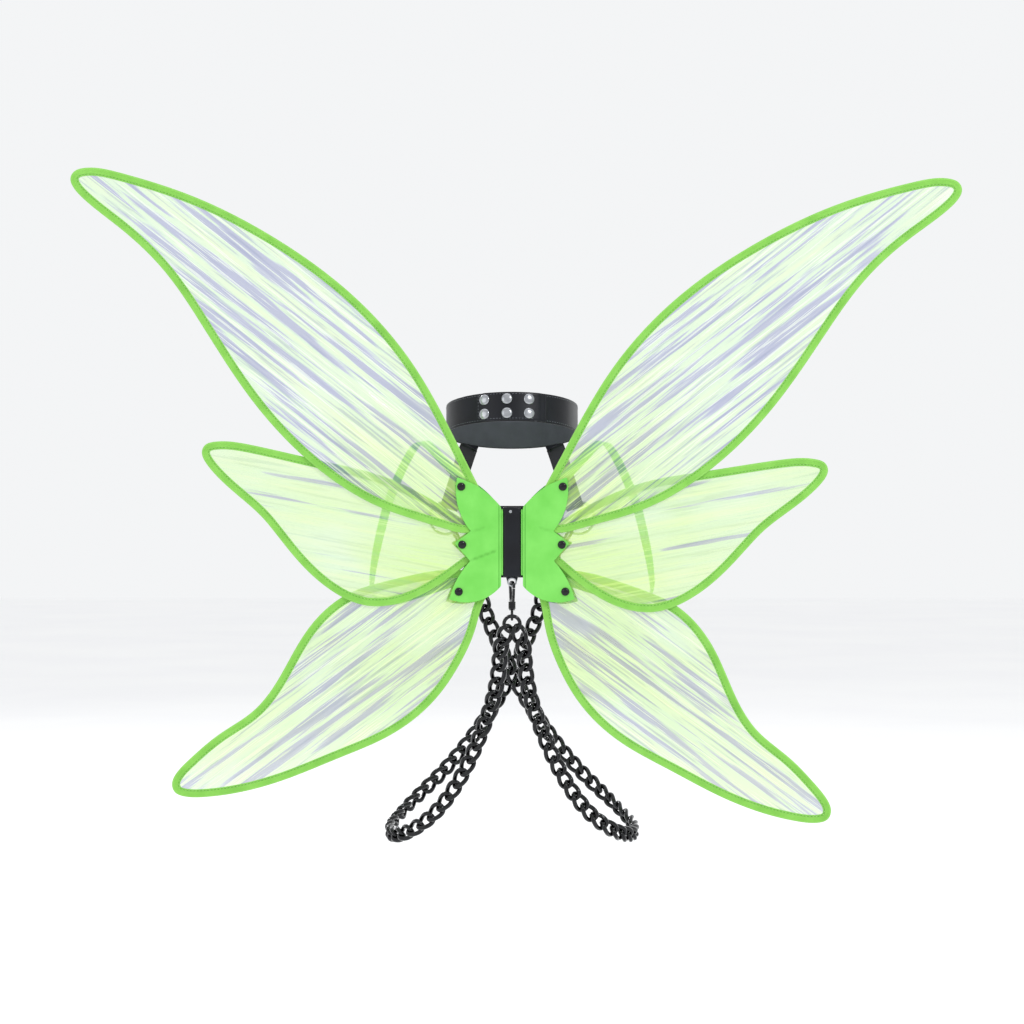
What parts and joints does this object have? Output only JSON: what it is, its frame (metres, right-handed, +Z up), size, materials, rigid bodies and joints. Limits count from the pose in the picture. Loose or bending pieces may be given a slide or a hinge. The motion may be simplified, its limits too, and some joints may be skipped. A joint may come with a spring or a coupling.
{
  "type": "fairy wings",
  "caption": "Costume fairy wings of clear film in green bound edges on leather plates, with shoulder straps, a snap neck collar and a black body chain.",
  "frame": {"origin": "on the wearer's back between the shoulder blades, at the middle of the backing of the spine piece", "axes": "+X to the wearer's left, -Y the way the wearer faces, +Z up"},
  "size_m": [0.8791, 0.2581, 0.6814],
  "materials": {
    "binding_tape": "satin woven tape",
    "edge_wire": "bright drawn wire",
    "wing_film": "clear crinkled film",
    "green_leather": "smooth, slightly shiny",
    "black_leather": "smooth with a soft sheen",
    "spine_filling": "plain foam cord",
    "elastic": "woven elastic",
    "silver_metal": "polished",
    "black_metal": "glossy black plating"
  },
  "bodies": {
    "harness": {"spine_cover": "black_leather", "spine_core": "spine_filling", "spine_backing": "black_leather", "fold_web_left": "black_leather", "fold_web_right": "black_leather", "clasp_tab": "black_leather", "spine_eyelet": "silver_metal", "spine_rivet": "silver_metal", "collar_band": "black_leather", "collar_lining": "black_leather", "collar_rivets": "silver_metal", "collar_studs": "black_metal", "snap_studs": "silver_metal", "drop_strap_left": "black_leather", "drop_strap_right": "black_leather", "strap_rivets": "silver_metal", "shoulder_strap_left": "elastic", "shoulder_strap_right": "elastic", "chain_left": "black_metal", "chain_right": "black_metal", "swivel_eyes": "black_metal", "joining_ring": "black_metal"},
    "collar_tab": {"collar_tab": "black_leather", "snap_caps": "silver_metal"},
    "o_ring_left": {"o_ring_left": "silver_metal"},
    "o_ring_right": {"o_ring_right": "silver_metal"},
    "clasp_spine": {"clasp_hook_spine": "black_metal"},
    "gate_spine": {"clasp_gate_spine": "black_metal"},
    "clasp_left": {"clasp_hook_left": "black_metal"},
    "gate_left": {"clasp_gate_left": "black_metal"},
    "clasp_right": {"clasp_hook_right": "black_metal"},
    "gate_right": {"clasp_gate_right": "black_metal"},
    "half_left": {"outer_plate_left": "green_leather", "inner_plate_left": "green_leather", "wing_rivets_left": "black_metal"},
    "upper_wing_left": {"upper_binding_left": "binding_tape", "upper_wire_left": "edge_wire", "upper_film_left": "wing_film"},
    "middle_wing_left": {"middle_binding_left": "binding_tape", "middle_wire_left": "edge_wire", "middle_film_left": "wing_film"},
    "lower_wing_left": {"lower_binding_left": "binding_tape", "lower_wire_left": "edge_wire", "lower_film_left": "wing_film"},
    "half_right": {"outer_plate_right": "green_leather", "inner_plate_right": "green_leather", "wing_rivets_right": "black_metal"},
    "upper_wing_right": {"upper_binding_right": "binding_tape", "upper_wire_right": "edge_wire", "upper_film_right": "wing_film"},
    "middle_wing_right": {"middle_binding_right": "binding_tape", "middle_wire_right": "edge_wire", "middle_film_right": "wing_film"},
    "lower_wing_right": {"lower_binding_right": "binding_tape", "lower_wire_right": "edge_wire", "lower_film_right": "wing_film"}
  },
  "joints": [
    {"name": "collar_tab_open", "type": "hinge", "parent": "harness", "child": "collar_tab", "pos_m": [-0.02595, -0.01088, 0.13963], "axis": [0, -0.2079, 0.9781], "range_deg": [0, 75]},
    {"name": "o_ring_left_spin", "type": "hinge", "parent": "harness", "child": "o_ring_left", "pos_m": [0.07, -0.163, 0.0245], "axis": [0, 1, 0], "continuous": true},
    {"name": "o_ring_right_spin", "type": "hinge", "parent": "harness", "child": "o_ring_right", "pos_m": [-0.07, -0.163, 0.0245], "axis": [0, 1, 0], "continuous": true},
    {"name": "clasp_spine_swivel", "type": "hinge", "parent": "harness", "child": "clasp_spine", "pos_m": [0, 0.0092, -0.0413], "axis": [0, 0, 1], "range_deg": [-10, 10]},
    {"name": "gate_spine_open", "type": "hinge", "parent": "clasp_spine", "child": "gate_spine", "pos_m": [-0.00133, 0.01286, -0.0516], "axis": [0.9397, 0.342, 0], "range_deg": [0, 28], "stiffness_Nm_per_rad": 0.004, "springref_deg": -22.92},
    {"name": "clasp_left_swivel", "type": "hinge", "parent": "harness", "child": "clasp_left", "pos_m": [0.06048, -0.16324, 0.00831], "axis": [0.5027, 0.1307, 0.8545], "range_deg": [-10, 10]},
    {"name": "gate_left_open", "type": "hinge", "parent": "clasp_left", "child": "gate_left", "pos_m": [0.05669, -0.16821, -0.00076], "axis": [-0.7873, -0.3391, 0.515], "range_deg": [0, 28], "stiffness_Nm_per_rad": 0.004, "springref_deg": -22.92},
    {"name": "clasp_right_swivel", "type": "hinge", "parent": "harness", "child": "clasp_right", "pos_m": [-0.06048, -0.16324, 0.00831], "axis": [-0.5027, 0.1307, 0.8545], "range_deg": [-10, 10]},
    {"name": "gate_right_open", "type": "hinge", "parent": "clasp_right", "child": "gate_right", "pos_m": [-0.05439, -0.16821, 0.0006], "axis": [-0.8326, -0.3391, -0.4379], "range_deg": [0, 28], "stiffness_Nm_per_rad": 0.004, "springref_deg": -22.92},
    {"name": "fold_left", "type": "hinge", "parent": "harness", "child": "half_left", "pos_m": [0.0104, 0.0139, 0], "axis": [0, 0, 1], "range_deg": [-4, 80]},
    {"name": "fan_upper_left", "type": "hinge", "parent": "half_left", "child": "upper_wing_left", "pos_m": [0.05103, 0.01571, 0.0595], "axis": [0.1045, -0.9945, 0], "range_deg": [-6, 6]},
    {"name": "fan_middle_left", "type": "hinge", "parent": "half_left", "child": "middle_wing_left", "pos_m": [0.05033, 0.01282, 0.0015], "axis": [0.1045, -0.9945, 0], "range_deg": [-6, 6]},
    {"name": "fan_lower_left", "type": "hinge", "parent": "half_left", "child": "lower_wing_left", "pos_m": [0.05411, 0.0104, -0.0455], "axis": [0.1045, -0.9945, 0], "range_deg": [-6, 6]},
    {"name": "fold_right", "type": "hinge", "parent": "harness", "child": "half_right", "pos_m": [-0.0104, 0.0139, 0], "axis": [0, 0, -1], "range_deg": [-4, 80]},
    {"name": "fan_upper_right", "type": "hinge", "parent": "half_right", "child": "upper_wing_right", "pos_m": [-0.05103, 0.01571, 0.0595], "axis": [0.1045, 0.9945, 0], "range_deg": [-6, 6]},
    {"name": "fan_middle_right", "type": "hinge", "parent": "half_right", "child": "middle_wing_right", "pos_m": [-0.05033, 0.01282, 0.0015], "axis": [0.1045, 0.9945, 0], "range_deg": [-6, 6]},
    {"name": "fan_lower_right", "type": "hinge", "parent": "half_right", "child": "lower_wing_right", "pos_m": [-0.05411, 0.0104, -0.0455], "axis": [0.1045, 0.9945, 0], "range_deg": [-6, 6]}
  ]
}
